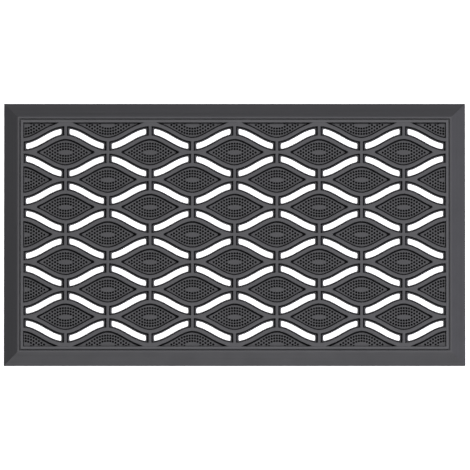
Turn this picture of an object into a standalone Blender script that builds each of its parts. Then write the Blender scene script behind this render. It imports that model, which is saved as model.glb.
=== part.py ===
"""Openwork rubber door mat: sloped border, raised bead and a lattice of eyes.

Metres, +Z up. The underside lies on z = 0 with its middle at the origin, the
long side runs along X, and the front edge is at -Y.

The mat is one moulding. It is built here as the regions that its mould has:
four border ramps mitred at the corners, four lengths of bead, and one cell for
each eye of the lattice. A cell holds its pocket, the rib round it, the two ties
that reach the rows in front and behind, and its share of the thin web round the
drain slots. The slots are what the cells leave open between them.
"""
import math

import bmesh
import bpy
from mathutils import Vector

# Whole mat
MAT_LENGTH = 0.700
MAT_WIDTH = 0.400
MAT_HEIGHT = 0.009

# Border, from its outer edge inwards
EDGE_HEIGHT = 0.002
RAMP_WIDTH = 0.0208
CREST_WIDTH = 0.0024
CREST_HEIGHT = 0.0084
GROOVE_WIDTH = 0.0018
GROOVE_FLOOR = 0.0045
BEAD_WIDTH = 0.0042

# Lattice: rows of eyes, every second row moved by half an eye
EYES_ALONG = 5
ROW_STEPS = 8
ROW_MARGIN = 0.0034
JUNCTION_HALF = 0.0023
RIB_WIDTH = 0.0056
TIE_WIDTH = 0.0044
TIE_CORNER = 0.0008

# Drain slots: across the top of the ribs, and where they open underneath
SLOT_TOP = 0.0140
SLOT_OPENING = 0.0084
SLOT_CORNER = 0.0022
WEB_WIDTH = 0.0040
WEB_HEIGHT = 0.0020

# Pockets inside the eyes
PAD_HEIGHT = 0.0028
POCKET_DRAFT = 0.0016
POCKET_TIP_RADIUS = 0.0016

# Pockets beside the bead: how far short of the junction their wedge closes
POCKET_WEDGE = 0.0080

# Clearance between regions that meet
JOINT_GAP = 0.0003

# Smoothness of the curves
WAVE_STEPS = 6
POCKET_STEPS = 5
TIP_STEPS = 2

# A tie that the bead swallows: it is narrower than the gap at the bead
HIDDEN_TIE = 0.00008

# How far cells beside the bead are drawn past it before they are trimmed
PAST_BEAD = 0.0010

FIELD_LENGTH = MAT_LENGTH - 2 * (RAMP_WIDTH + CREST_WIDTH + GROOVE_WIDTH + BEAD_WIDTH)
FIELD_WIDTH = MAT_WIDTH - 2 * (RAMP_WIDTH + CREST_WIDTH + GROOVE_WIDTH + BEAD_WIDTH)
EYE_PITCH = FIELD_LENGTH / EYES_ALONG
ROW_PITCH = (FIELD_WIDTH - 2 * ROW_MARGIN) / ROW_STEPS
WAVE_AMPLITUDE = (ROW_PITCH - SLOT_TOP) / 2 - JUNCTION_HALF

RUBBER_COLOUR = (0.030, 0.030, 0.033, 1.0)
FINISHES = {"border_rubber": 0.62, "bead_rubber": 0.55, "lattice_rubber": 0.58}


# ---------------------------------------------------------------- outlines

def slot_middle(x):
    """Distance from a row's centre line to the middle of the slots beside it."""
    return ROW_PITCH / 2 + WAVE_AMPLITUDE * math.cos(2 * math.pi * x / EYE_PITCH)


def slot_slope(x):
    """Slope of that middle line."""
    turn = 2 * math.pi / EYE_PITCH
    return -WAVE_AMPLITUDE * turn * math.sin(turn * x)


def slot_edge(x, across):
    """Distance from the row's centre line to a slot's edge, which lies across from its middle."""
    return slot_middle(x) + across * math.hypot(1, slot_slope(x))


def close_outline(quarter, bead_side):
    """Close an outline from its quarter.

    An eye inside the lattice has the same shape in all four quarters, and
    bead_side is 0. Beside the bead, which lies towards bead_side, 1 or -1, the
    outline has one straight side along the bead.
    """
    half = quarter + [(-x, y) for x, y in reversed(quarter[:-1])]
    if bead_side:
        return [(x, -bead_side * y) for x, y in half]
    return half + [(x, -y) for x, y in reversed(half[1:-1])]


def cell_outline(slot_width, tie_half, corner, bead_side):
    """Outline of a cell and its ties, where the slots are slot_width wide."""
    junction = (EYE_PITCH - JOINT_GAP) / 2
    half_slot = slot_width / 2
    foot = tie_half + corner
    quarter = [(junction, -ROW_MARGIN - 2 * PAST_BEAD if bead_side else 0.0)]
    for step in range(WAVE_STEPS + 1):
        x = junction + (foot - junction) * step / WAVE_STEPS
        quarter.append((x, slot_edge(x, -half_slot)))
    quarter.append((tie_half, slot_edge(foot, -half_slot) + corner))
    tie_end = half_slot - JOINT_GAP
    quarter.append((tie_half, slot_edge(foot, tie_end) - corner))
    quarter.append((foot, slot_edge(foot, tie_end)))
    quarter.append((0.0, slot_edge(0, tie_end)))
    return close_outline(quarter, bead_side)


def inside_rib(x, distance):
    """Point that lies distance inwards from the rib's outer top edge at x."""
    slope = slot_slope(x)
    length = math.hypot(1, slope)
    inwards = SLOT_TOP / 2 + distance
    return x + inwards * slope / length, slot_middle(x) - inwards / length


def crossing(distance):
    """Where the line that lies distance inside a rib crosses the row's centre line."""
    low, high = 0.0, EYE_PITCH / 2
    for _ in range(40):
        middle = (low + high) / 2
        if inside_rib(middle, distance)[1] > 0:
            low = middle
        else:
            high = middle
    return low


def pocket_outline(distance, bead_side):
    """Lens with round tips, lying distance inwards from the rib's outer top edge.

    Beside the bead the pocket has a wedge at each end instead, between rib and
    bead, and the bead closes it.
    """
    if bead_side:
        touch = crossing(distance)
        narrowing = 2 * (distance - RIB_WIDTH)
        wedge_end = EYE_PITCH / 2 - POCKET_WEDGE - narrowing
        quarter = [(wedge_end, -ROW_MARGIN - PAST_BEAD)]
    else:
        touch = crossing(distance + POCKET_TIP_RADIUS)
        tip_x = inside_rib(touch, distance + POCKET_TIP_RADIUS)[0]
        turn = math.atan2(1, -slot_slope(touch))
        quarter = []
        for step in range(TIP_STEPS):
            angle = turn * step / TIP_STEPS
            across = POCKET_TIP_RADIUS * math.cos(angle)
            quarter.append((tip_x + across, POCKET_TIP_RADIUS * math.sin(angle)))
    for step in range(POCKET_STEPS + 1):
        quarter.append(inside_rib(touch * (1 - step / POCKET_STEPS), distance))
    return close_outline(quarter, bead_side)


# ------------------------------------------------------------- mesh helpers

def add_loop(mesh, outline, height):
    """Ring of edges through an outline at one height."""
    corners = [mesh.verts.new((x, y, height)) for x, y in outline]
    return [mesh.edges.new((corners[i - 1], corners[i])) for i in range(len(corners))]


def cut_away(mesh, point, outward):
    """Remove what lies outside a plane and close the cut."""
    parts = mesh.verts[:] + mesh.edges[:] + mesh.faces[:]
    cut = bmesh.ops.bisect_plane(
        mesh, geom=parts, dist=1e-7, plane_co=point, plane_no=outward, clear_outer=True)
    rim = [part for part in cut["geom_cut"] if isinstance(part, bmesh.types.BMEdge)]
    bmesh.ops.holes_fill(mesh, edges=rim, sides=0)


def finish_mesh(mesh, name):
    """Turn the faces outwards and store the mesh."""
    bmesh.ops.recalc_face_normals(mesh, faces=mesh.faces[:])
    data = bpy.data.meshes.new(name)
    mesh.to_mesh(data)
    mesh.free()
    return data


def rubber(name):
    """Black moulded rubber with the roughness of one region of the mat."""
    material = bpy.data.materials.get(name)
    if material is None:
        material = bpy.data.materials.new(name)
        material.use_nodes = True
        shader = material.node_tree.nodes["Principled BSDF"]
        shader.inputs["Base Color"].default_value = RUBBER_COLOUR
        shader.inputs["Roughness"].default_value = FINISHES[name]
        shader.inputs["Metallic"].default_value = 0.0
    return material


def place(name, data, material, location=(0.0, 0.0, 0.0)):
    """Put a mesh into the scene as a named piece."""
    if not data.materials:
        data.materials.append(rubber(material))
    piece = bpy.data.objects.new(name, data)
    piece.location = location
    bpy.context.scene.collection.objects.link(piece)


# -------------------------------------------------------------- border, bead

def mitred_bar(name, profile, length, half_width, side):
    """Length of border along one side of the mat, mitred at both ends.

    The profile's points are (distance inwards from the mat's edge, height), and
    side is the outward direction of that edge.
    """
    along = Vector((-side[1], side[0], 0))
    outward = Vector((side[0], side[1], 0))
    mesh = bmesh.new()
    start = [
        mesh.verts.new(outward * (half_width - inward) - along * length / 2 + Vector((0, 0, height)))
        for inward, height in profile
    ]
    end_face = mesh.faces.new(start)
    pulled = bmesh.ops.extrude_face_region(mesh, geom=[end_face], use_keep_orig=True)
    moved = [part for part in pulled["geom"] if isinstance(part, bmesh.types.BMVert)]
    bmesh.ops.translate(mesh, verts=moved, vec=along * length)
    for end in (-1, 1):
        corner = outward * half_width + along * end * length / 2
        mitre = (along * end - outward).normalized()
        cut_away(mesh, corner - mitre * JOINT_GAP / 2, mitre)
    return finish_mesh(mesh, name)


def build_border():
    """Four ramps round the mat and four lengths of bead inside them."""
    ramp_inner = RAMP_WIDTH + CREST_WIDTH
    groove_inner = ramp_inner + GROOVE_WIDTH
    bead_inner = groove_inner + BEAD_WIDTH
    ramp_profile = [
        (0, 0), (0, EDGE_HEIGHT), (RAMP_WIDTH, CREST_HEIGHT), (ramp_inner, CREST_HEIGHT),
        (ramp_inner, GROOVE_FLOOR), (groove_inner - JOINT_GAP, GROOVE_FLOOR),
        (groove_inner - JOINT_GAP, 0),
    ]
    bead_profile = [
        (groove_inner, 0), (groove_inner, MAT_HEIGHT), (bead_inner, MAT_HEIGHT), (bead_inner, 0),
    ]
    sides = {
        "front": ((0, -1), MAT_LENGTH, MAT_WIDTH / 2),
        "back": ((0, 1), MAT_LENGTH, MAT_WIDTH / 2),
        "left": ((-1, 0), MAT_WIDTH, MAT_LENGTH / 2),
        "right": ((1, 0), MAT_WIDTH, MAT_LENGTH / 2),
    }
    for side, (outward, length, half_width) in sides.items():
        ramp = mitred_bar(f"border_{side}", ramp_profile, length, half_width, outward)
        place(f"border_{side}", ramp, "border_rubber")
        bead = mitred_bar(f"bead_{side}", bead_profile, length, half_width, outward)
        place(f"bead_{side}", bead, "bead_rubber")


# ------------------------------------------------------------------- lattice

def cell_mesh(name, tie_half, tie_corner, cuts, bead_side=0):
    """One eye with its rib, pocket, ties and web, trimmed by planes at the bead."""
    web_outline = cell_outline(SLOT_OPENING, tie_half + WEB_WIDTH, SLOT_CORNER, bead_side)
    rib_outline = cell_outline(SLOT_TOP, tie_half, tie_corner, bead_side)
    mesh = bmesh.new()
    underside = add_loop(mesh, web_outline, 0.0)
    web = add_loop(mesh, web_outline, WEB_HEIGHT)
    rib_top = add_loop(mesh, rib_outline, MAT_HEIGHT)
    pocket_rim = add_loop(mesh, pocket_outline(RIB_WIDTH, bead_side), MAT_HEIGHT)
    pocket_foot = add_loop(mesh, pocket_outline(RIB_WIDTH + POCKET_DRAFT, bead_side), PAD_HEIGHT)
    bmesh.ops.contextual_create(mesh, geom=underside)
    bmesh.ops.contextual_create(mesh, geom=pocket_foot)
    for lower, upper in ((underside, web), (web, rib_top), (pocket_foot, pocket_rim)):
        bmesh.ops.bridge_loops(mesh, edges=lower + upper)
    bmesh.ops.triangle_fill(mesh, edges=rib_top + pocket_rim, use_beauty=True)
    for point, outward in cuts:
        cut_away(mesh, point, outward)
    return finish_mesh(mesh, name)


def build_lattice():
    """Cells on their staggered rows, row 1 at the front and column 1 at the left."""
    whole_eye = cell_mesh("eye", TIE_WIDTH / 2, TIE_CORNER, [])
    for row in range(ROW_STEPS + 1):
        y = (row - ROW_STEPS / 2) * ROW_PITCH
        edge_row = row in (0, ROW_STEPS)
        offset_row = row % 2 == 0
        eyes_in_row = EYES_ALONG + 1 if offset_row else EYES_ALONG
        for column in range(eyes_in_row):
            x = (column - (eyes_in_row - 1) / 2) * EYE_PITCH
            at_side = offset_row and column in (0, eyes_in_row - 1)
            place_cell(whole_eye, row, column, Vector((x, y, 0)), edge_row, at_side)


def place_cell(whole_eye, row, column, centre, edge_row, at_side):
    """Put one cell in its place, trimmed where it meets the bead."""
    cuts = []
    bead_side = 0
    if at_side:
        side = math.copysign(1, centre.x)
        cuts.append((Vector((-side * JOINT_GAP, 0, 0)), Vector((side, 0, 0))))
    elif abs(centre.x) + EYE_PITCH > FIELD_LENGTH / 2:
        side = math.copysign(1, centre.x)
        reach = FIELD_LENGTH / 2 - abs(centre.x) - JOINT_GAP
        cuts.append((Vector((side * reach, 0, 0)), Vector((side, 0, 0))))
    if edge_row:
        bead_side = math.copysign(1, centre.y)
        reach = ROW_MARGIN - JOINT_GAP
        cuts.append((Vector((0, bead_side * reach, 0)), Vector((0, bead_side, 0))))
    kind = ("eye", "half_eye", "corner_eye")[int(edge_row) + int(at_side)]
    name = f"{kind}_r{row + 1}_c{column + 1}"
    if not cuts:
        place(name, whole_eye, "lattice_rubber", centre)
        return
    tie_half = HIDDEN_TIE if at_side else TIE_WIDTH / 2
    tie_corner = HIDDEN_TIE if at_side else TIE_CORNER
    trimmed = cell_mesh(name, tie_half, tie_corner, cuts, bead_side)
    place(name, trimmed, "lattice_rubber", centre)


def main():
    """Clear the scene and build the mat."""
    for old in list(bpy.data.objects):
        bpy.data.objects.remove(old, do_unlink=True)
    build_border()
    build_lattice()


main()
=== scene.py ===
"""Openwork rubber door mat: the finished surfaces round its measured frame.

Every region of the moulding gets a fine mesh with rounded edges, drafted walls
and pitted pocket floors, in a procedural rubber that is scuffed on the treads,
with painted shade on its walls and in its pits.
"""
import math

import bmesh
import bpy
from bpy.props import FloatProperty, FloatVectorProperty, IntProperty, PointerProperty
from bpy.types import Operator, Panel, PropertyGroup
from mathutils import Matrix, Vector


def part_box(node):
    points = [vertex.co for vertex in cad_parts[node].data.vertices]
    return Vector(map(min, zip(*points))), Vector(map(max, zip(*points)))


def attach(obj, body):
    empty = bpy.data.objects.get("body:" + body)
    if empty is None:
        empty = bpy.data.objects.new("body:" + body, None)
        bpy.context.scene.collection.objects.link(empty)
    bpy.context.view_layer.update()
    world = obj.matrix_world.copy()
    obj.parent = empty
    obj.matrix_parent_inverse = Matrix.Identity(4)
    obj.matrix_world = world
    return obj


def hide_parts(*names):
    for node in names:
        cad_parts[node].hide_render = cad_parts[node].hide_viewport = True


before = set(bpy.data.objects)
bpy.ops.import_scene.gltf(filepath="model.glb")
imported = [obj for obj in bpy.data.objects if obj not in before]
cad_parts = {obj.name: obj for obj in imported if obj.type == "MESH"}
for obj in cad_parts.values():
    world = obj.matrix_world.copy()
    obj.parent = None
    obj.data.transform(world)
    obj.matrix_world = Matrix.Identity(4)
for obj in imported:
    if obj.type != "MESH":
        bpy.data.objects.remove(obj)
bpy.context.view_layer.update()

bl_info = {
    "name": "Openwork Door Mat",
    "version": (1, 0, 0),
    "blender": (4, 5, 0),
    "location": "3D View > Sidebar > Door Mat",
    "description": "Builds an openwork rubber door mat round its measured frame",
    "category": "Add Mesh",
}

MM = 0.001
BODY = "root"
SIDES = {"front": (0, -1), "back": (0, 1), "left": (-1, 0), "right": (1, 0)}

# Shapes.
BEAD_FILLET = 0.5 * MM  # where a rib meets the bead with no tie
BEAD_FOOT = (1.4 * MM, 1.6 * MM)  # how far the bead's inner wall leans in, down to this height
PAST_BEAD = 1.0 * MM  # how far a pocket runs on under the bead before it is trimmed
RING_FALL = 0.02 * MM  # drop that keeps two rings of a mesh off one height
CROWN_FLAT = 0.2 * MM  # flat strip beside a rounded top edge
WALL_LEAN = 0.15 * MM  # how far an outer wall stands out just under its rounded edge
CUT_TOLERANCE = 1e-7
TRIM_TOLERANCE = 1e-6
SHARP_ANGLE = math.radians(40)
ARC_LEAD = 1.3  # straight lead beside an arc, as a share of the arc's reach
CROSSING_HALVINGS = 40
FLOOR_DROP = 0.3 * MM

# Pits: (columns from the middle to the tip, half height, fullness) for each ring,
# and (share of the radius kept, share of the depth gone down) for each step.
PIT_RINGS = ((8, 13.6 * MM, 1.35), (6, 9.5 * MM, 1.25), (4, 5.35 * MM, 1.1))
PIT_RING_TAPER = 2.35
PIT_CLEARANCE = 1.1  # pit radii between the bead and the middle of the nearest pit
PIT_STEPS = ((0.86, 0.18), (0.80, 0.62), (0.55, 0.20))
# Material slot of the pits, which carries their painted shade.
PIT_MATERIAL = 1

# Finish. A wall stop is (share of the mat's height, how fully the painted wall shade applies).
# Painted shade: the steep walls between the pocket floors and the treads are darkened in colour and
# gloss.
PAINTED_WALL_SHADE_STOPS = ((0.315, 0), (0.36, 1), (0.86, 1), (0.95, 0))
# How much colour and gloss the walls keep under the painted shade: lattice and bead, and the ramps,
# which get none.
LATTICE_PAINTED_WALL_SHADE = 0.25
RAMP_PAINTED_WALL_SHADE = 1
RAMP_ROUGHNESS = 0.55
BEAD_ROUGHNESS = 0.5
LATTICE_ROUGHNESS = 0.54
GLOSS_SPREAD = 0.07
RUBBER_SPECULAR = 0.5
# Painted shade in the pits: a lowered specular level, and a high roughness.
PIT_SHADED_SPECULAR = 0.15
PIT_ROUGHNESS = 0.9
DARKER, PALER = 0.82, 1.2  # shares of the clean colour that the mottle runs between
SCUFF_DEPTH = 1.6 * MM
LEAST_SCUFF = 0.55
STREAK_ALONG, STREAK_ACROSS, STREAK_UP = 2.5, 420.0, 40.0  # noise scales of the drag lines


# ------------------------------------------------------------ measured frame

def middle(node):
    """Middle of a frame node's box."""
    low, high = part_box(node)
    return (low + high) / 2


def nodes_named(prefix):
    """Names of the frame's nodes that start with a prefix, in order."""
    return sorted(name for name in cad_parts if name.startswith(prefix))


EYE_PITCH = middle("eye_r5_c4").x - middle("eye_r5_c3").x
ROW_PITCH = (middle("eye_r7_c3").y - middle("eye_r3_c3").y) / 4
FIELD_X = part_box("bead_right")[0].x
FIELD_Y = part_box("bead_back")[0].y
BEAD_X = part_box("bead_right")[1].x
BEAD_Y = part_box("bead_back")[1].y
MAT_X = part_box("border_right")[1].x
MAT_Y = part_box("border_back")[1].y
MAT_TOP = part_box("bead_front")[1].z
CREST_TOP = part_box("border_front")[1].z
ROW_MARGIN = FIELD_Y - 4 * ROW_PITCH


# ------------------------------------------------------------------ settings

class DoorMatBorder(PropertyGroup):
    """Sizes of the sloped border and the bead."""

    edge_height: FloatProperty(
        name="Edge Height", description="Height of the thin outer edge",
        default=2.0 * MM, subtype="DISTANCE", unit="LENGTH")
    crest_width: FloatProperty(
        name="Crest Width", description="Width of the flat line at the top of the ramp",
        default=2.4 * MM, subtype="DISTANCE", unit="LENGTH")
    groove_width: FloatProperty(
        name="Groove Width", description="Width of the groove between the crest and the bead",
        default=1.8 * MM, subtype="DISTANCE", unit="LENGTH")
    groove_floor: FloatProperty(
        name="Groove Floor", description="Height of the bottom of the groove",
        default=4.5 * MM, subtype="DISTANCE", unit="LENGTH")
    edge_radius: FloatProperty(
        name="Edge Radius", description="Radius on the border's moulded edges",
        default=0.5 * MM, subtype="DISTANCE", unit="LENGTH")


class DoorMatLattice(PropertyGroup):
    """Sizes of the ribs, slots, webs and pockets."""

    slot_top: FloatProperty(
        name="Slot Width at Top", description="Width of a drain slot between the rib tops",
        default=14.0 * MM, subtype="DISTANCE", unit="LENGTH")
    slot_opening: FloatProperty(
        name="Slot Opening", description="Width of a drain slot where it opens underneath",
        default=8.4 * MM, subtype="DISTANCE", unit="LENGTH")
    junction_half: FloatProperty(
        name="Junction Half Width", description="Half the width of the ribs where two eyes meet",
        default=2.3 * MM, subtype="DISTANCE", unit="LENGTH")
    rib_width: FloatProperty(
        name="Rib Width", description="Width of the top of the rib round an eye",
        default=5.6 * MM, subtype="DISTANCE", unit="LENGTH")
    tie_width: FloatProperty(
        name="Tie Width", description="Width of the top of a tie bar",
        default=4.4 * MM, subtype="DISTANCE", unit="LENGTH")
    tie_corner: FloatProperty(
        name="Tie Corner", description="Radius where a tie meets a rib at the top",
        default=0.8 * MM, subtype="DISTANCE", unit="LENGTH")
    web_width: FloatProperty(
        name="Web Width", description="How far the web reaches from a tie's top edge",
        default=4.0 * MM, subtype="DISTANCE", unit="LENGTH")
    web_height: FloatProperty(
        name="Web Height", description="Thickness of the web round the slots",
        default=2.0 * MM, subtype="DISTANCE", unit="LENGTH")
    slot_corner: FloatProperty(
        name="Slot Corner", description="Corner radius of the slot opening",
        default=2.2 * MM, subtype="DISTANCE", unit="LENGTH")
    crown_radius: FloatProperty(
        name="Crown Radius", description="Radius on the top edges of ribs and ties",
        default=0.7 * MM, subtype="DISTANCE", unit="LENGTH")
    pad_height: FloatProperty(
        name="Pocket Floor Height", description="Height of the pocket floor",
        default=2.8 * MM, subtype="DISTANCE", unit="LENGTH")
    pocket_draft: FloatProperty(
        name="Pocket Draft", description="How far the pocket wall slopes inwards",
        default=1.6 * MM, subtype="DISTANCE", unit="LENGTH")
    tip_radius: FloatProperty(
        name="Pocket Tip Radius", description="Radius of the pocket's pointed ends",
        default=1.6 * MM, subtype="DISTANCE", unit="LENGTH")
    pocket_wedge: FloatProperty(
        name="Pocket Wedge",
        description="Where a pocket beside the bead closes, short of the junction",
        default=8.0 * MM, subtype="DISTANCE", unit="LENGTH")


class DoorMatPits(PropertyGroup):
    """Sizes of the round pits in the pocket floors."""

    spacing: FloatProperty(
        name="Pit Spacing", description="Distance between columns of pits",
        default=3.976 * MM, subtype="DISTANCE", unit="LENGTH")
    radius: FloatProperty(
        name="Pit Radius", description="Radius of a pit at the pocket floor",
        default=1.75 * MM, subtype="DISTANCE", unit="LENGTH")
    depth: FloatProperty(
        name="Pit Depth", description="Depth of a pit",
        default=2.2 * MM, subtype="DISTANCE", unit="LENGTH")
    sides: IntProperty(
        name="Pit Sides", description="Number of sides of a pit", default=10, min=6, max=16)


class DoorMatRubber(PropertyGroup):
    """Colours of the rubber, and the painted shade in its pits."""

    colour: FloatVectorProperty(
        name="Rubber Colour", description="Colour of clean moulded rubber",
        default=(0.013, 0.013, 0.0145), subtype="COLOR", min=0.0, max=1.0)
    scuffed: FloatVectorProperty(
        name="Scuffed Colour", description="Colour of the treads where they are scuffed",
        default=(0.024, 0.024, 0.026), subtype="COLOR", min=0.0, max=1.0)
    # Painted shade: the pits' rubber is darkened to this share of its colour for their depth.
    pit_painted_shade: FloatProperty(
        name="Pit Shade", description="Share of the rubber's colour that is left inside the pits",
        default=0.1, min=0.0, max=1.0)


# --------------------------------------------------------------- mesh helpers

def add_loop(mesh, outline, height):
    """Ring of edges through an outline at one height."""
    corners = [mesh.verts.new((x, y, height)) for x, y in outline]
    return [mesh.edges.new((corners[i - 1], corners[i])) for i in range(len(corners))]


def cut_away(mesh, point, outward):
    """Remove what lies outside a plane and close the cut."""
    parts = mesh.verts[:] + mesh.edges[:] + mesh.faces[:]
    cut = bmesh.ops.bisect_plane(
        mesh, geom=parts, dist=CUT_TOLERANCE, plane_co=point, plane_no=outward, clear_outer=True)
    rim = [part for part in cut["geom_cut"] if isinstance(part, bmesh.types.BMEdge)]
    caps = bmesh.ops.holes_fill(mesh, edges=rim, sides=0)["faces"]
    bmesh.ops.triangulate(mesh, faces=caps, ngon_method="EAR_CLIP")


def make_piece(name, mesh, materials, nodes):
    """Store a mesh as a finished piece that stands for its frame nodes."""
    data = bpy.data.meshes.new(name)
    mesh.to_mesh(data)
    data.shade_smooth()
    data.set_sharp_from_angle(angle=SHARP_ANGLE)
    for material in materials:
        data.materials.append(material)
    piece = bpy.data.objects.new(name, data)
    bpy.context.scene.collection.objects.link(piece)
    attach(piece, BODY)
    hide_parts(*nodes)
    return piece


def rounded(corners, radius, steps=4):
    """Closed profile with its corners rounded.

    Each corner is (across, height, share of the radius). A short straight piece
    beside each arc keeps the flat faces flat when they are shaded smooth.
    """
    profile = []
    count = len(corners)
    for i, (across, height, share) in enumerate(corners):
        here = Vector((across, height))
        if share == 0:
            profile.append(here)
            continue
        before = (Vector(corners[i - 1][:2]) - here).normalized()
        after = (Vector(corners[(i + 1) % count][:2]) - here).normalized()
        reach = radius * share
        profile.append(here + before * reach * ARC_LEAD)
        for step in range(steps + 1):
            t = step / steps
            profile.append(
                here + before * reach * (1 - t) ** 2 + after * reach * t ** 2)
        profile.append(here + after * reach * ARC_LEAD)
    return profile


def mitred_bar(profile, length, half_width, outward):
    """Bar along one side of the mat, mitred at both ends.

    The profile's points are (distance inwards from half_width, height).
    """
    along = Vector((-outward[1], outward[0], 0))
    out = Vector((outward[0], outward[1], 0))
    mesh = bmesh.new()
    start = [
        mesh.verts.new(out * (half_width - point.x) - along * length / 2 + Vector((0, 0, point.y)))
        for point in profile
    ]
    end_face = mesh.faces.new(start)
    pulled = bmesh.ops.extrude_face_region(mesh, geom=[end_face], use_keep_orig=True)
    moved = [part for part in pulled["geom"] if isinstance(part, bmesh.types.BMVert)]
    bmesh.ops.translate(mesh, verts=moved, vec=along * length)
    for end in (-1, 1):
        mitre = (along * end - out).normalized()
        cut_away(mesh, out * half_width + along * end * length / 2, mitre)
    bmesh.ops.recalc_face_normals(mesh, faces=mesh.faces[:])
    return mesh


# -------------------------------------------------------------------- rubber

def rubber_material(name, rubber, roughness, painted_wall_shade, streaks=None):
    """Moulded rubber: fine grain, mottled gloss, on the treads pale scuffs, and painted shade on
    the walls.

    The painted wall shade argument is how much of its colour and gloss a wall
    between a pocket floor and the treads keeps under the painted shade. streaks is
    the axis, 0 or 1, that faint lengthwise drag lines follow.
    """
    material = bpy.data.materials.new(name)
    material.use_nodes = True
    nodes = material.node_tree.nodes
    links = material.node_tree.links
    shader = nodes["Principled BSDF"]
    shader.inputs["Metallic"].default_value = 0.0
    place = nodes.new("ShaderNodeTexCoord")

    mottle = nodes.new("ShaderNodeTexNoise")
    mottle.inputs["Scale"].default_value = 38.0
    mottle.inputs["Detail"].default_value = 5.0
    mottle.inputs["Roughness"].default_value = 0.6
    links.new(place.outputs["Object"], mottle.inputs["Vector"])

    split = nodes.new("ShaderNodeSeparateXYZ")
    links.new(place.outputs["Object"], split.inputs["Vector"])
    tread = nodes.new("ShaderNodeMapRange")
    tread.interpolation_type = "SMOOTHSTEP"
    tread.inputs["From Min"].default_value = MAT_TOP - SCUFF_DEPTH
    tread.inputs["From Max"].default_value = MAT_TOP
    links.new(split.outputs["Z"], tread.inputs["Value"])
    patch = nodes.new("ShaderNodeMapRange")
    patch.inputs["From Min"].default_value = 0.3
    patch.inputs["From Max"].default_value = 0.7
    patch.inputs["To Min"].default_value = LEAST_SCUFF
    patch.inputs["To Max"].default_value = 1.0
    links.new(mottle.outputs["Fac"], patch.inputs["Value"])
    scuff = nodes.new("ShaderNodeMath")
    scuff.operation = "MULTIPLY"
    links.new(tread.outputs["Result"], scuff.inputs[0])
    links.new(patch.outputs["Result"], scuff.inputs[1])

    clean = nodes.new("ShaderNodeValToRGB")
    clean.color_ramp.elements[0].position = 0.25
    clean.color_ramp.elements[0].color = (*[DARKER * c for c in rubber.colour], 1)
    clean.color_ramp.elements[1].position = 0.75
    clean.color_ramp.elements[1].color = (*[PALER * c for c in rubber.colour], 1)
    tint = nodes.new("ShaderNodeMix")
    tint.data_type = "RGBA"
    tint.inputs["B"].default_value = (*rubber.scuffed, 1)
    links.new(scuff.outputs["Value"], tint.inputs["Factor"])
    links.new(clean.outputs["Color"], tint.inputs["A"])

    # Painted shade: by height, the walls between the pocket floors and the treads lose colour and
    # specular level.
    height = nodes.new("ShaderNodeMapRange")
    height.inputs["From Max"].default_value = MAT_TOP
    links.new(split.outputs["Z"], height.inputs["Value"])
    painted_shade_ramp = nodes.new("ShaderNodeValToRGB")
    for position, share in PAINTED_WALL_SHADE_STOPS:
        level = 1 - share * (1 - painted_wall_shade)
        painted_shade_ramp.color_ramp.elements.new(position).color = (level, level, level, 1)
    for end in (0, -1):
        painted_shade_ramp.color_ramp.elements[end].color = (1, 1, 1, 1)
    links.new(height.outputs["Result"], painted_shade_ramp.inputs["Fac"])
    shade = nodes.new("ShaderNodeVectorMath")
    shade.operation = "MULTIPLY"
    links.new(tint.outputs["Result"], shade.inputs[0])
    links.new(painted_shade_ramp.outputs["Color"], shade.inputs[1])
    links.new(shade.outputs["Vector"], shader.inputs["Base Color"])
    painted_shade_specular = nodes.new("ShaderNodeMath")
    painted_shade_specular.operation = "MULTIPLY"
    painted_shade_specular.inputs[1].default_value = RUBBER_SPECULAR
    links.new(painted_shade_ramp.outputs["Color"], painted_shade_specular.inputs[0])
    links.new(painted_shade_specular.outputs["Value"], shader.inputs["Specular IOR Level"])

    gloss = nodes.new("ShaderNodeMapRange")
    gloss.inputs["To Min"].default_value = roughness - GLOSS_SPREAD
    gloss.inputs["To Max"].default_value = roughness + GLOSS_SPREAD
    links.new(mottle.outputs["Fac"], gloss.inputs["Value"])
    links.new(gloss.outputs["Result"], shader.inputs["Roughness"])

    grain = nodes.new("ShaderNodeTexNoise")
    grain.inputs["Scale"].default_value = 1400.0
    grain.inputs["Detail"].default_value = 3.0
    links.new(place.outputs["Object"], grain.inputs["Vector"])
    bump = nodes.new("ShaderNodeBump")
    bump.inputs["Strength"].default_value = 0.25
    bump.inputs["Distance"].default_value = 0.12 * MM
    links.new(grain.outputs["Fac"], bump.inputs["Height"])
    links.new(bump.outputs["Normal"], shader.inputs["Normal"])
    if streaks is None:
        links.new(mottle.outputs["Fac"], clean.inputs["Fac"])
        return material

    stretch = nodes.new("ShaderNodeMapping")
    scales = [STREAK_ACROSS, STREAK_ACROSS, STREAK_UP]
    scales[streaks] = STREAK_ALONG
    stretch.inputs["Scale"].default_value = scales
    links.new(place.outputs["Object"], stretch.inputs["Vector"])
    drag = nodes.new("ShaderNodeTexNoise")
    drag.inputs["Scale"].default_value = 1.0
    drag.inputs["Detail"].default_value = 3.0
    links.new(stretch.outputs["Vector"], drag.inputs["Vector"])
    links.new(drag.outputs["Fac"], clean.inputs["Fac"])
    lines = nodes.new("ShaderNodeBump")
    lines.inputs["Strength"].default_value = 0.35
    lines.inputs["Distance"].default_value = 0.15 * MM
    links.new(drag.outputs["Fac"], lines.inputs["Height"])
    links.new(bump.outputs["Normal"], lines.inputs["Normal"])
    links.new(lines.outputs["Normal"], shader.inputs["Normal"])
    return material


def shaded_pit_material(name, rubber):
    """Dark dull rubber for the insides of the pits: painted shade for their depth, with a low
    specular level.
    """
    material = bpy.data.materials.new(name)
    material.use_nodes = True
    shader = material.node_tree.nodes["Principled BSDF"]
    shader.inputs["Base Color"].default_value = (*[rubber.pit_painted_shade * c for c in rubber.colour], 1)
    shader.inputs["Specular IOR Level"].default_value = PIT_SHADED_SPECULAR
    shader.inputs["Roughness"].default_value = PIT_ROUGHNESS
    return material


# ------------------------------------------------------------ lattice outlines

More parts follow.
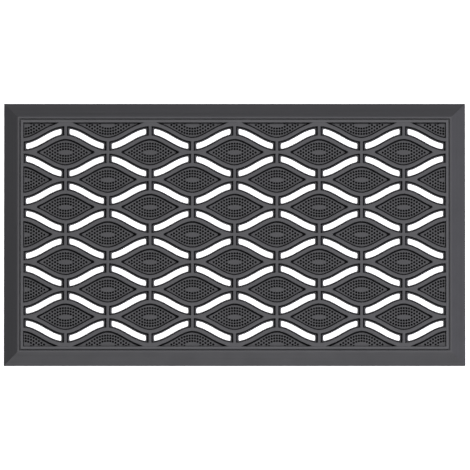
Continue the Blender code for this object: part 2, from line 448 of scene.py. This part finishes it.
class EyeShape:
    """Outlines of one eye cell, centred on the eye.

    bead_side is 0 inside the lattice, and beside the front or back bead it is
    the direction of that bead, -1 or 1.
    """

    WAVE_STEPS = 24
    CORNER_STEPS = 4
    POCKET_STEPS = 24
    TIP_STEPS = 6

    def __init__(self, sizes, bead_side):
        self.sizes = sizes
        self.bead_side = bead_side
        self.turn = 2 * math.pi / EYE_PITCH
        self.amplitude = (ROW_PITCH - sizes.slot_top) / 2 - sizes.junction_half

    def slot_middle(self, x):
        """Distance from a row's centre line to the middle of the slots beside it."""
        return ROW_PITCH / 2 + self.amplitude * math.cos(self.turn * x)

    def slot_slope(self, x):
        """Slope of that middle line."""
        return -self.amplitude * self.turn * math.sin(self.turn * x)

    def slot_edge(self, x, across):
        """Distance from the row's centre line to a slot's edge, across from its middle."""
        return self.slot_middle(x) + across * math.hypot(1, self.slot_slope(x))

    def close_outline(self, quarter):
        """Close an outline from its quarter, with a straight side towards a bead."""
        half = quarter + [(-x, y) for x, y in reversed(quarter[:-1])]
        if self.bead_side:
            return [(x, -self.bead_side * y) for x, y in half]
        return half + [(x, -y) for x, y in reversed(half[1:-1])]

    def corner_arc(self, foot, tie_half, offset, corner, towards):
        """Curve from a rib's edge at x = foot round into the side of a tie.

        offset is the edge's distance from the slot's middle, and towards is the
        direction along the tie, 1 or -1, that the curve turns to.
        """
        start = Vector((foot, self.slot_edge(foot, offset)))
        bend_y = start.y + self.slot_slope(foot) * (tie_half - foot)
        bend = Vector((tie_half, bend_y))
        end = Vector((tie_half, bend_y + towards * corner))
        points = []
        for step in range(self.CORNER_STEPS + 1):
            t = step / self.CORNER_STEPS
            points.append(start * (1 - t) ** 2 + bend * 2 * t * (1 - t) + end * t ** 2)
        return [(point.x, point.y) for point in points]

    def cell_outline(self, spread, tie_half, corner):
        """Outline of rib and ties where the walls stand spread outside the rib's top edge."""
        junction = EYE_PITCH / 2
        half_slot = self.sizes.slot_top / 2 - spread
        foot = tie_half + corner
        quarter = [(junction, -ROW_MARGIN - 2 * PAST_BEAD if self.bead_side else 0.0)]
        for step in range(self.WAVE_STEPS):
            x = junction + (foot - junction) * step / self.WAVE_STEPS
            quarter.append((x, self.slot_edge(x, -half_slot)))
        quarter += self.corner_arc(foot, tie_half, -half_slot, corner, 1)
        quarter += reversed(self.corner_arc(foot, tie_half, half_slot, corner, -1))
        quarter.append((0.0, self.slot_edge(0, half_slot)))
        return self.close_outline(quarter)

    def inside_rib(self, x, distance):
        """Point that lies distance inwards from the rib's outer top edge at x."""
        slope = self.slot_slope(x)
        length = math.hypot(1, slope)
        inwards = self.sizes.slot_top / 2 + distance
        return x + inwards * slope / length, self.slot_middle(x) - inwards / length

    def crossing(self, distance):
        """Where the line distance inside a rib crosses the row's centre line."""
        low, high = 0.0, EYE_PITCH / 2
        for _ in range(CROSSING_HALVINGS):
            halfway = (low + high) / 2
            if self.inside_rib(halfway, distance)[1] > 0:
                low = halfway
            else:
                high = halfway
        return low

    def pocket_outline(self, distance):
        """Lens with round tips, or with wedges that the bead closes, inside the rib."""
        sizes = self.sizes
        if self.bead_side:
            touch = self.crossing(distance)
            narrowing = 2 * (distance - sizes.rib_width)
            wedge_end = EYE_PITCH / 2 - sizes.pocket_wedge - narrowing
            quarter = [(wedge_end, -ROW_MARGIN - PAST_BEAD)]
        else:
            tip = sizes.tip_radius
            touch = self.crossing(distance + tip)
            tip_x = self.inside_rib(touch, distance + tip)[0]
            swing = math.atan2(1, -self.slot_slope(touch))
            quarter = []
            for step in range(self.TIP_STEPS):
                angle = swing * step / self.TIP_STEPS
                quarter.append((tip_x + tip * math.cos(angle), tip * math.sin(angle)))
        for step in range(self.POCKET_STEPS + 1):
            quarter.append(self.inside_rib(touch * (1 - step / self.POCKET_STEPS), distance))
        return self.close_outline(quarter)


# ----------------------------------------------------------------- eye meshes

def crown(radius, steps=4):
    """Rounded top edge as (distance back from the wall, drop below the top), going up.

    It ends RING_FALL below the flat top, because two rings at one height can't be
    bridged the right way round.
    """
    arc = []
    for step in range(steps + 1):
        angle = math.pi / 2 * step / steps
        drop = RING_FALL + (radius - RING_FALL) * (1 - math.sin(angle))
        arc.append((radius * (1 - math.cos(angle)), drop))
    return arc


def wall_levels(sizes):
    """Outer wall from the underside up, as (height, spread outside the rib's top edge)."""
    full = (sizes.slot_top - sizes.slot_opening) / 2
    web = sizes.web_height
    wall_top = MAT_TOP - sizes.crown_radius
    levels = [
        (0.0, full - 0.15 * MM), (0.15 * MM, full), (web - 0.35 * MM, full),
        (web - 0.1 * MM, full - 0.1 * MM), (web, full - 0.35 * MM),
        (web + 0.05 * MM, full - 1.0 * MM), (web + 0.3 * MM, full - 1.45 * MM),
        (web + 0.9 * MM, full - 1.7 * MM), (wall_top, WALL_LEAN),
    ]
    for back, drop in crown(sizes.crown_radius)[1:]:
        levels.append((MAT_TOP - drop, WALL_LEAN - back))
    levels.append((MAT_TOP, levels[-1][1] - CROWN_FLAT))
    return levels


def pocket_levels(sizes):
    """Pocket wall from the flat top down, as (height, distance in from the rib's outer edge)."""
    rim = sizes.rib_width
    foot = rim + sizes.pocket_draft
    top_edge = [(MAT_TOP, rim - sizes.crown_radius - CROWN_FLAT)]
    for back, drop in reversed(crown(sizes.crown_radius)):
        top_edge.append((MAT_TOP - drop, rim - back))
    pad = sizes.pad_height
    fillet = [
        (pad + 0.9 * MM, foot - 0.35 * MM), (pad + 0.3 * MM, foot),
        (pad + RING_FALL, foot + 0.5 * MM), (pad, foot + 0.7 * MM),
    ]
    return top_edge + fillet


def pit_places(pits):
    """Middles of the pits: three rings of columns round the middle of the eye."""
    places = []
    for tip_column, half_height, fullness in PIT_RINGS:
        for column in range(-tip_column, tip_column + 1):
            share = abs(column) / tip_column
            y = half_height * (1 - share ** PIT_RING_TAPER) ** fullness
            places.append(Vector((column * pits.spacing, y)))
            if y > 0:
                places.append(Vector((column * pits.spacing, -y)))
    return places


def add_pits(mesh, pits, floor, bead_side):
    """Sink the pits that lie clear of the bead and return the edges of their rims."""
    rims = []
    last = ROW_MARGIN + PAST_BEAD - PIT_CLEARANCE * pits.radius
    for place in pit_places(pits):
        if place.y * bead_side > last:
            continue
        middle_point = Vector((place.x, place.y, floor))
        ring = bmesh.ops.create_circle(
            mesh, segments=pits.sides, radius=pits.radius, cap_ends=False,
            matrix=Matrix.Translation(middle_point))
        edges = list({edge for vert in ring["verts"] for edge in vert.link_edges})
        rims += edges
        for shrink, drop in PIT_STEPS:
            pulled = bmesh.ops.extrude_edge_only(mesh, edges=edges)
            for part in pulled["geom"]:
                if isinstance(part, bmesh.types.BMFace):
                    part.material_index = PIT_MATERIAL
            verts = [part for part in pulled["geom"] if isinstance(part, bmesh.types.BMVert)]
            edges = [part for part in pulled["geom"] if isinstance(part, bmesh.types.BMEdge)]
            bmesh.ops.translate(mesh, verts=verts, vec=(0, 0, -drop * pits.depth))
            bmesh.ops.scale(
                mesh, verts=verts, vec=(shrink, shrink, 1), space=Matrix.Translation(-middle_point))
            edges = [edge for edge in edges if all(vert in verts for vert in edge.verts)]
        bottom = bmesh.ops.contextual_create(mesh, geom=edges)["faces"][0]
        bottom.material_index = PIT_MATERIAL
    return rims


def eye_mesh(settings, with_ties, bead_side=0):
    """Fine mesh of one untrimmed eye cell, centred on the eye."""
    sizes = settings.door_mat_lattice
    shape = EyeShape(sizes, bead_side)
    full = (sizes.slot_top - sizes.slot_opening) / 2
    tie_half = sizes.tie_width / 2 if with_ties else BEAD_FILLET
    tie_corner = sizes.tie_corner if with_ties else BEAD_FILLET
    mesh = bmesh.new()
    rings = []
    for height, spread in wall_levels(sizes):
        share = max(spread, 0) / full
        half = tie_half + sizes.web_width * share + (min(spread, 0) if with_ties else 0)
        corner = tie_corner + (sizes.slot_corner - tie_corner) * share
        rings.append(add_loop(mesh, shape.cell_outline(spread, half, corner), height))
    bmesh.ops.contextual_create(mesh, geom=rings[0])
    for lower, upper in zip(rings, rings[1:]):
        bmesh.ops.bridge_loops(mesh, edges=lower + upper)
    pocket = [
        add_loop(mesh, shape.pocket_outline(distance), height)
        for height, distance in pocket_levels(sizes)
    ]
    for upper, lower in zip(pocket, pocket[1:]):
        bmesh.ops.bridge_loops(mesh, edges=upper + lower)
    bmesh.ops.triangle_fill(
        mesh, edges=rings[-1] + pocket[0], use_beauty=True, normal=(0, 0, 1))
    rims = add_pits(mesh, settings.door_mat_pits, sizes.pad_height, bead_side)
    bmesh.ops.triangle_fill(
        mesh, edges=pocket[-1] + rims, use_beauty=True, normal=(0, 0, 1))
    wide = [face for face in mesh.faces if len(face.verts) > 4]
    bmesh.ops.triangulate(mesh, faces=wide, ngon_method="EAR_CLIP")
    bmesh.ops.recalc_face_normals(mesh, faces=mesh.faces[:])
    return mesh


def eye_centre(name):
    """Centre of an eye from its node's row and column."""
    row, column = (int(part[1:]) for part in name.split("_")[-2:])
    y = (row - 5) * ROW_PITCH
    across = 6 if row % 2 else 5
    return Vector(((column - (across + 1) / 2) * EYE_PITCH, y, 0))


def trim_at_bead(mesh, centre):
    """Cut a placed cell off at the bead, where it reaches past it."""
    for axis, limit in ((0, FIELD_X), (1, FIELD_Y)):
        side = math.copysign(1, centre[axis])
        normal = Vector((0, 0, 0))
        normal[axis] = side
        reach = max(vert.co[axis] * side for vert in mesh.verts)
        if reach > limit + TRIM_TOLERANCE:
            cut_away(mesh, normal * limit, normal)


# ------------------------------------------------------------------ operators

class DOORMAT_OT_ramps(Operator):
    """Build the four sloped border ramps with their crest line and groove"""

    bl_idname = "door_mat.ramps"
    bl_label = "Border Ramps"

    def execute(self, context):
        sizes = context.scene.door_mat_border
        width = MAT_X - BEAD_X
        crest_in = width - sizes.groove_width
        crest_out = crest_in - sizes.crest_width
        corners = [
            (0, 0, 0.4), (0, sizes.edge_height, 1.2), (crest_out, CREST_TOP, 1.0),
            (crest_in, CREST_TOP, 1.0), (crest_in, sizes.groove_floor, 0.6),
            (width, sizes.groove_floor, 0), (width, 0, 0),
        ]
        profile = rounded(corners, sizes.edge_radius)
        rubber = context.scene.door_mat_rubber
        materials = [
            rubber_material("ramp_rubber_long", rubber, RAMP_ROUGHNESS, RAMP_PAINTED_WALL_SHADE, streaks=0),
            rubber_material(
                "ramp_rubber_short", rubber, RAMP_ROUGHNESS, RAMP_PAINTED_WALL_SHADE, streaks=1),
        ]
        for side, outward in SIDES.items():
            lengthwise = outward[0] == 0
            length = 2 * (MAT_X if lengthwise else MAT_Y)
            mesh = mitred_bar(profile, length, MAT_Y if lengthwise else MAT_X, outward)
            node = f"border_{side}"
            material = materials[0 if lengthwise else 1]
            make_piece(f"ramp_{side}", mesh, [material], [node])
            mesh.free()
        return {"FINISHED"}


class DOORMAT_OT_beads(Operator):
    """Build the four lengths of raised bead round the lattice, leaning in at the foot"""

    bl_idname = "door_mat.beads"
    bl_label = "Bead"

    def execute(self, context):
        sizes = context.scene.door_mat_border
        width = BEAD_X - FIELD_X
        reach, height = BEAD_FOOT
        corners = [
            (0, 0, 0), (0, MAT_TOP, 1.2), (width, MAT_TOP, 1.2),
            (width + reach, height, 0), (width, height, 0), (width, 0, 0),
        ]
        profile = rounded(corners, sizes.edge_radius)
        rubber = context.scene.door_mat_rubber
        # The bead's walls take the same painted shade as the lattice's walls.
        material = rubber_material("bead_rubber", rubber, BEAD_ROUGHNESS, LATTICE_PAINTED_WALL_SHADE)
        for side, outward in SIDES.items():
            lengthwise = outward[0] == 0
            length = 2 * (BEAD_X if lengthwise else BEAD_Y)
            mesh = mitred_bar(profile, length, BEAD_Y if lengthwise else BEAD_X, outward)
            make_piece(f"bead_run_{side}", mesh, [material], [f"bead_{side}"])
            mesh.free()
        return {"FINISHED"}


class DOORMAT_OT_eyes(Operator):
    """Build the whole eyes, each with its rib, ties, webs and pitted pocket"""

    bl_idname = "door_mat.eyes"
    bl_label = "Whole Eyes"

    def execute(self, context):
        rubber = context.scene.door_mat_rubber
        materials = [
            rubber_material("lattice_rubber", rubber, LATTICE_ROUGHNESS, LATTICE_PAINTED_WALL_SHADE),
            shaded_pit_material("pit_shaded_rubber", rubber)]
        whole = eye_mesh(context.scene, with_ties=True)
        for node in nodes_named("eye_"):
            mesh = whole.copy()
            bmesh.ops.translate(mesh, verts=mesh.verts[:], vec=eye_centre(node))
            make_piece(f"cell_{node}", mesh, materials, [node])
            mesh.free()
        whole.free()
        return {"FINISHED"}


class DOORMAT_OT_edge_eyes(Operator):
    """Build the half and quarter eyes that the bead cuts off"""

    bl_idname = "door_mat.edge_eyes"
    bl_label = "Edge Eyes"

    def execute(self, context):
        rubber = context.scene.door_mat_rubber
        materials = [
            rubber_material(
                "edge_lattice_rubber", rubber, LATTICE_ROUGHNESS, LATTICE_PAINTED_WALL_SHADE),
            shaded_pit_material("edge_pit_shaded_rubber", rubber)]
        untrimmed = {}
        for node in nodes_named("half_eye_") + nodes_named("corner_eye_"):
            centre = eye_centre(node)
            with_ties = abs(centre.x) < FIELD_X - EYE_PITCH / 4
            at_edge = abs(centre.y) > FIELD_Y - ROW_PITCH / 2
            bead_side = math.copysign(1, centre.y) if at_edge else 0
            kind = (with_ties, bead_side)
            if kind not in untrimmed:
                untrimmed[kind] = eye_mesh(context.scene, with_ties, bead_side)
            mesh = untrimmed[kind].copy()
            bmesh.ops.translate(mesh, verts=mesh.verts[:], vec=centre)
            trim_at_bead(mesh, centre)
            make_piece(f"cell_{node}", mesh, materials, [node])
            mesh.free()
        for mesh in untrimmed.values():
            mesh.free()
        return {"FINISHED"}


class DOORMAT_OT_stage(Operator):
    """Lay the pale floor and set up the soft studio light and the camera"""

    bl_idname = "door_mat.stage"
    bl_label = "Floor, Lights and Camera"

    def execute(self, context):
        self.floor(context)
        self.lights(context)
        self.camera(context)
        return {"FINISHED"}

    def floor(self, context):
        """Pale floor that the mat lies on."""
        mesh = bmesh.new()
        bmesh.ops.create_grid(mesh, x_segments=1, y_segments=1, size=30.0)
        data = bpy.data.meshes.new("floor")
        mesh.to_mesh(data)
        mesh.free()
        floor = bpy.data.objects.new("floor", data)
        floor.location.z = -FLOOR_DROP
        context.scene.collection.objects.link(floor)
        paint = bpy.data.materials.new("floor_white")
        paint.use_nodes = True
        shader = paint.node_tree.nodes["Principled BSDF"]
        shader.inputs["Base Color"].default_value = (0.8, 0.8, 0.8, 1)
        shader.inputs["Roughness"].default_value = 0.9
        shader.inputs["Emission Color"].default_value = (1, 1, 1, 1)
        shader.inputs["Emission Strength"].default_value = 0.5
        data.materials.append(paint)
        floor.visible_glossy = False

    def lights(self, context):
        """Broad light overhead, and weaker ones at the right and at the front."""
        lamps = (
            ("overhead", (0.1, 0.35, 2.2), 2.4, 61, (0.98, 0.97, 1.0)),
            ("right", (2.0, -0.2, 1.9), 1.5, 33, (0.88, 0.87, 1.0)),
            ("front", (0.0, -1.35, 2.0), 1.2, 24, (0.97, 0.97, 1.0)),
        )
        for name, place, size, power, colour in lamps:
            lamp = bpy.data.lights.new(name, "AREA")
            lamp.size = size
            lamp.energy = power
            lamp.color = colour
            holder = bpy.data.objects.new(name, lamp)
            holder.location = place
            holder.rotation_euler = Vector(place).to_track_quat("Z", "Y").to_euler()
            holder.visible_camera = False
            context.scene.collection.objects.link(holder)
        world = bpy.data.worlds.new("studio")
        world.use_nodes = True
        world.node_tree.nodes["Background"].inputs["Color"].default_value = (1, 1, 1, 1)
        world.node_tree.nodes["Background"].inputs["Strength"].default_value = 0.06
        context.scene.world = world

    def camera(self, context):
        """Long lens, nearly straight down, tipped a little to the front edge."""
        elevation = math.radians(84.0)
        distance = 23.775
        lens = bpy.data.cameras.new("camera")
        lens.lens = 1200
        lens.sensor_width = 36
        lens.clip_end = 100
        camera = bpy.data.objects.new("camera", lens)
        aim = Vector((0.6 * MM, -0.6 * MM, MAT_TOP / 2))
        camera.location = aim + distance * Vector((0, -math.cos(elevation), math.sin(elevation)))
        camera.rotation_euler = (aim - camera.location).to_track_quat("-Z", "Y").to_euler()
        context.scene.collection.objects.link(camera)
        context.scene.camera = camera
        context.scene.view_settings.view_transform = "Standard"


class DOORMAT_PT_build(Panel):
    """Lists the mat's settings and the steps that build it"""

    bl_idname = "DOORMAT_PT_build"
    bl_label = "Openwork Door Mat"
    bl_space_type = "VIEW_3D"
    bl_region_type = "UI"
    bl_category = "Door Mat"

    def draw(self, context):
        for group_name in GROUPS:
            box = self.layout.box()
            group = getattr(context.scene, group_name)
            for setting in group.__annotations__:
                box.prop(group, setting)
        for step in STEPS:
            self.layout.operator(step.bl_idname)


GROUPS = {
    "door_mat_border": DoorMatBorder,
    "door_mat_lattice": DoorMatLattice,
    "door_mat_pits": DoorMatPits,
    "door_mat_rubber": DoorMatRubber,
}
STEPS = (
    DOORMAT_OT_ramps, DOORMAT_OT_beads, DOORMAT_OT_eyes, DOORMAT_OT_edge_eyes, DOORMAT_OT_stage,
)


def register():
    """Register the settings, the steps and the panel."""
    for cls in (*GROUPS.values(), *STEPS, DOORMAT_PT_build):
        bpy.utils.register_class(cls)
    for name, cls in GROUPS.items():
        setattr(bpy.types.Scene, name, PointerProperty(type=cls))


def unregister():
    """Take them away again."""
    for name in GROUPS:
        delattr(bpy.types.Scene, name)
    for cls in reversed((*GROUPS.values(), *STEPS, DOORMAT_PT_build)):
        bpy.utils.unregister_class(cls)


def main():
    """Build the mat step by step."""
    register()
    bpy.ops.door_mat.ramps()
    bpy.ops.door_mat.beads()
    bpy.ops.door_mat.eyes()
    bpy.ops.door_mat.edge_eyes()
    bpy.ops.door_mat.stage()


if __name__ == "__main__":
    main()
